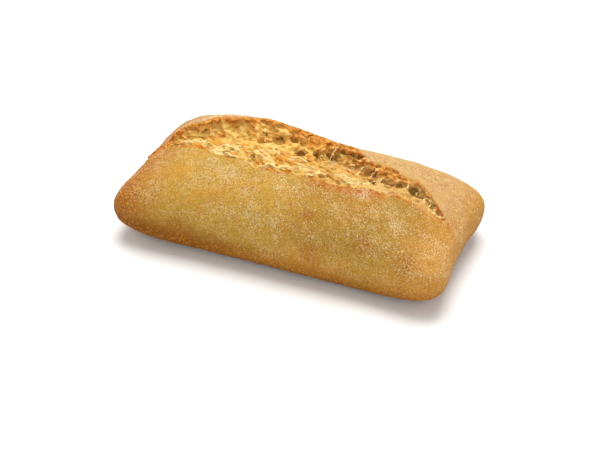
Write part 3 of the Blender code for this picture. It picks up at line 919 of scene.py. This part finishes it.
FLOUR_TONES = (
    ("dull back", (178, 164, 150), 0.15, ("beyond", 0.5, 4.0), ("z", 0.03, 0.045)),
    ("thin flour", "white", 0.21, ("floury", 0.46, 0.74), ("above_base",)),
    ("thick flour", (228, 210, 174), 0.32, ("floury", 0.58, 0.76), ("above_base",)),
    ("white specks", "white", 0.26, ("fine", 0.52, 0.74), ("speckle",)),
    ("fine pores", (122, 70, 12), 0.45, ("fine", 0.46, 0.26), ("speckle",)),
    ("light pebbles", (224, 150, 52), 0.34, ("ends",), ("pebble", 0.5, 0.66)),
    ("dark pebbles", (88, 38, 0), 0.4, ("ends",), ("pebble", 0.46, 0.32)),
    ("far streak", (230, 212, 180), 0.65, ("beyond", 2.6, 4.4), ("beyond", 8.5, 6.0),
     ("x", -0.04, -0.06), ("z", 0.044, 0.05), ("medium", 0.4, 0.54), ("dust", 0.34, 0.54, 0.35, 1.0)),
)
CRUMB_TONES = (
    # painted highlight: pale cream on the proud crests of the crumb
    ("crests", (244, 224, 166), 1.0, ("proud", 0.55, 0.85), ("x", -0.01, 0.03, 0.3, 0.16)),
    # painted light on the far side of the crumb in the left half
    ("left wall", (240, 204, 118), 0.65, ("across", 0.5, 0.8), ("x", 0.02, -0.02)),
    # painted shade on the near side of the crumb in the right half
    ("near right side", (196, 150, 74), 0.4, ("across", 0.6, 0.3), ("x", 0.02, 0.05)),
    # painted shade in hollows: golden where the bread round a place hides much of the sky
    ("hidden places", (212, 162, 68), 0.5, ("hidden", 0.4, 0.95)),
    ("pale right part", (218, 190, 132), 0.45, ("x", 0.04, 0.056), ("patches", 0.36, 0.56)),
    ("dull right part", (190, 168, 116), 0.22, ("x", 0.004, 0.03)),
    ("pale films", (224, 208, 168), 0.4, ("films",), ("shreds", 0.4, 0.56)),
    ("toasted crests", (202, 124, 36), 1.0, ("heat", 0.46, 0.64), ("hidden", 0.85, 0.4),
     ("x", -0.01, 0.02, 0.68, 0.42)),
    ("rim", "rim_colour", 0.85, ("rim", 6.0, 1.8)),
    ("near left rim", (198, 118, 38), 0.8, ("x", -0.056, -0.066), ("near_rim", -3.2, -0.8)),
    ("strands", (232, 212, 150), 0.75, ("fibre",), ("shreds", 0.3, 0.5)),
    # the named cells darker, partly the crumb's deeper colour and partly painted shade, most where the sky is
    # hidden
    ("dark cells", "cell_colour", 1.0, ("dark",), ("hidden", 0.15, 0.7, 0.4, 1.0), ("off_strands",),
     ("x", 0.0, 0.03, 0.75, 0.58)),
    ("streaked flap", "flap_colour", 0.85, ("x", 0.024, 0.034), ("x", 0.05, 0.044), ("before", -20.0, -30.0),
     ("below_rim", 5.0, 3.5)),
)
# fmt: on


def crust_measures(f):
    """What the tones of the crust are measured by."""
    m = f.measured(CRUST_NOISE, "lip", "beyond", "before")
    x, z = m["x"], m["z"]
    waver = f.times(f.math("SUBTRACT", m["toast"], 0.5), 8.0)
    m["depth"] = f.plus(m["before"], waver)
    m["band"] = f.plus(m["before"], f.times(waver, 2.5))
    m["open"] = f.plus(f.step(x, -0.052, -0.068), f.step(x, 0.004, 0.022), f.step(m["beyond"], -2.0, 0.0))
    m["narrow"] = f.times(f.step(x, 0.042, 0.052), f.step(m["beyond"], -1.0, 0.8))
    m["ends"] = f.math("MAXIMUM", f.step(x, -0.08, -0.108), f.step(z, 0.03, 0.012))
    m["dents"] = f.spots(SHADED_DENTS)
    patches = f.times(f.spots(FLOUR_PATCHES), 0.13)
    drift = f.plus(f.times(m["drift"], 0.75), f.times(m["clump"], 0.25), patches)
    above_base = f.step(f.plus(z, f.times(f.step(x, 0.0, -0.08), -0.014)), 0.004, 0.032)
    m["above_base"] = above_base
    m["white"] = f.mix(above_base, srgb(*LOW_FLOUR), srgb(*WHITE_FLOUR))
    m["floury"] = f.plus(m["dust"], f.times(f.math("SUBTRACT", drift, 0.5), 0.7))
    m["speckle"] = f.times(f.step(drift, 0.38, 0.58, 0.55, 1.05), f.step(above_base, 0.0, 1.0, 0.8, 1.0))
    return m


def baked_crust(f):
    """The colour of the crust, golden, browner at the ends and darker towards the base, there partly as
    painted shade, with a painted contact shadow along the base's edge and painted shade on the front at the
    right and in the dents, toasted along the tear and floured, and the height of its fine relief.
    """
    m = crust_measures(f)
    ground = f.plus(f.times(m["broad"], 0.45), f.times(m["medium"], 0.35), f.times(m["grain"], 0.2))
    crust = f.layered(f.ramp(ground, CRUST_RAMP), CRUST_TONES, m)
    # painted shade: the upper front of the crust at the right is darkened by multiplying
    shaded_right_front = f.times(
        f.step(m["x"], -0.01, 0.03), f.step(m["x"], 0.112, 0.088), f.step(m["beyond"], 0.0, -4.0),
        f.step(m["z"], 0.024, 0.04), 0.9,
    )  # fmt: skip
    crust = f.mix(shaded_right_front, crust, srgb(*PAINTED_FRONT_SHADE), "MULTIPLY")
    crust = f.layered(crust, MARK_TONES, m)
    by_tear = f.times(f.step(m["z"], 0.03, 0.04), f.step(m["x"], -0.1175, -0.1145))
    crust = f.mix(by_tear, crust, f.layered(crust, TOAST_TONES, m))
    crust = f.layered(crust, FLOUR_TONES, m)
    return crust, f.plus(f.times(m["grain"], 0.5), f.times(m["medium"], 0.6), f.times(m["dust"], 0.5))


def torn_crumb(f):
    """The colour of the crumb, cream where it is torn, golden to brown in the cells and toasted by the lips,
    with painted highlights on the crests and on the far side at the left, painted shade on the near side at
    the right and in hidden places, and partly painted shade in the dark cells; and its shreds.
    """
    m = f.measured(CRUMB_NOISE, "across", "before", "below_rim", "proud", "hidden", "dark", "fibre")
    m["films"] = f.spots(PALE_FILMS)
    m["heat"] = f.plus(m["warmth"], f.times(m["proud"], 0.25), -0.12)
    ragged = f.times(f.math("SUBTRACT", m["ragged"], 0.5), 18.0)
    m["rim"] = f.plus(m["below_rim"], ragged, f.step(m["x"], 0.056, 0.08, 0.0, 2.5))
    m["near_rim"] = f.plus(m["before"], f.times(ragged, 0.3))
    m["off_strands"] = f.math("SUBTRACT", 1.0, f.times(m["fibre"], 0.8))
    m["rim_colour"] = f.ramp(m["shreds"], RIM_RAMP)
    m["cell_colour"] = f.ramp(m["patches"], CELL_RAMP)
    m["flap_colour"] = f.ramp(m["streaks"], FLAP_RAMP)
    crumb = f.ramp(f.plus(f.times(m["patches"], 0.6), f.times(m["shreds"], 0.4)), CRUMB_RAMP)
    return f.layered(crumb, CRUMB_TONES, m), m["shreds"]


def baked_bread():
    """Golden floury crust, and the open crumb where the loaf is torn."""
    f = Finish("baked_bread")
    crumb = f.attribute("crumb")
    crust_colour, skin = baked_crust(f)
    crumb_colour, shreds = torn_crumb(f)
    colour = f.mix(crumb, crust_colour, crumb_colour)
    for centre, radius in TOASTED_PITS:
        colour = f.mix(f.times(f.spot(centre, radius), 0.85), colour, srgb(*DARK_TOAST))
    normal = f.bump(skin, 0.0009, 0.6)
    normal = f.bump(f.times(f.plus(shreds, f.noise(0.0007, 1, seed=71.0)), crumb), 0.0008, 0.5, under=normal)
    return f.coated(
        {
            "Base Color": colour,
            "Roughness": f.step(shreds, 0.3, 0.7, 0.55, 0.78),
            "Specular IOR Level": 0.08,
            "Subsurface Weight": 0.12,
            "Subsurface Radius": (1.0, 0.55, 0.25),
            "Subsurface Scale": 0.003,
            "Normal": normal,
        }
    )


def baked_flour():
    """Grains of flour, cream and toasted a little."""
    f = Finish("baked_flour")
    colour = f.ramp(f.noise(0.003, 1, 0.5, seed=4.0), GRAIN_RAMP)
    colour = f.mix(f.step(f.axes()[2], 0.034, 0.01), colour, srgb(*LOW_GRAINS))
    return f.coated({"Base Color": colour, "Roughness": 0.9, "Specular IOR Level": 0.1})


def pale_ground():
    return Finish("pale_ground").coated({"Base Color": srgb(*GROUND), "Roughness": 0.9})


# ---- The studio


def pointing(direction):
    return Vector(direction).to_track_quat("-Z", "Y").to_euler()


def add_camera():
    level, height = math.cos(CAMERA_ELEVATION), math.sin(CAMERA_ELEVATION)
    back = Vector((math.sin(CAMERA_AZIMUTH) * level, -math.cos(CAMERA_AZIMUTH) * level, height))
    bpy.ops.object.camera_add(location=CAMERA_AIM + back * CAMERA_DISTANCE, rotation=pointing(-back))
    camera = bpy.context.active_object
    camera.data.sensor_width = SENSOR_WIDTH
    camera.data.lens = FOCAL_LENGTH
    camera.data.shift_x, camera.data.shift_y = CAMERA_SHIFT
    bpy.context.scene.camera = camera


def add_light(name, place, size, power):
    """A square soft white light at a place, turned to the loaf."""
    heading = pointing(Vector(LIT_POINT) - Vector(place))
    bpy.ops.object.light_add(type="AREA", location=place, rotation=heading)
    light = bpy.context.active_object
    light.name = name
    light.data.size = size
    light.data.energy = power


def add_studio():
    deselect()
    bpy.ops.mesh.primitive_plane_add(size=FLOOR_SIZE)
    floor = bpy.context.active_object
    floor.name = "floor"
    floor.data.materials.append(pale_ground())
    for name, (place, size, power) in LIGHTS.items():
        add_light(name, place, size, power)
    world = bpy.data.worlds.new("studio")
    world.use_nodes = True
    sky = world.node_tree.nodes["Background"]
    sky.inputs["Color"].default_value = (1.0, 1.0, 1.0, 1.0)
    sky.inputs["Strength"].default_value = SKY_STRENGTH
    scene = bpy.context.scene
    scene.world = world
    scene.view_settings.view_transform = "Standard"


def bake(node):
    """The finished loaf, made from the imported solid."""
    loaf = loaf_from(node)
    bed = Bed(loaf)
    passed = break_crumb(loaf, bed)
    press_scar(loaf)
    thin_out(loaf)
    record_finish(loaf, bed, passed)
    select_only(loaf)
    bpy.ops.object.shade_smooth()
    loaf.data.materials.clear()
    loaf.data.materials.append(baked_bread())
    return loaf


loaf = bake(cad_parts["ciabatta"])
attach(loaf, "root")
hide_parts("ciabatta")
grains = flour_grains(loaf)
grains.data.materials.append(baked_flour())
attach(grains, "root")
add_camera()
add_studio()
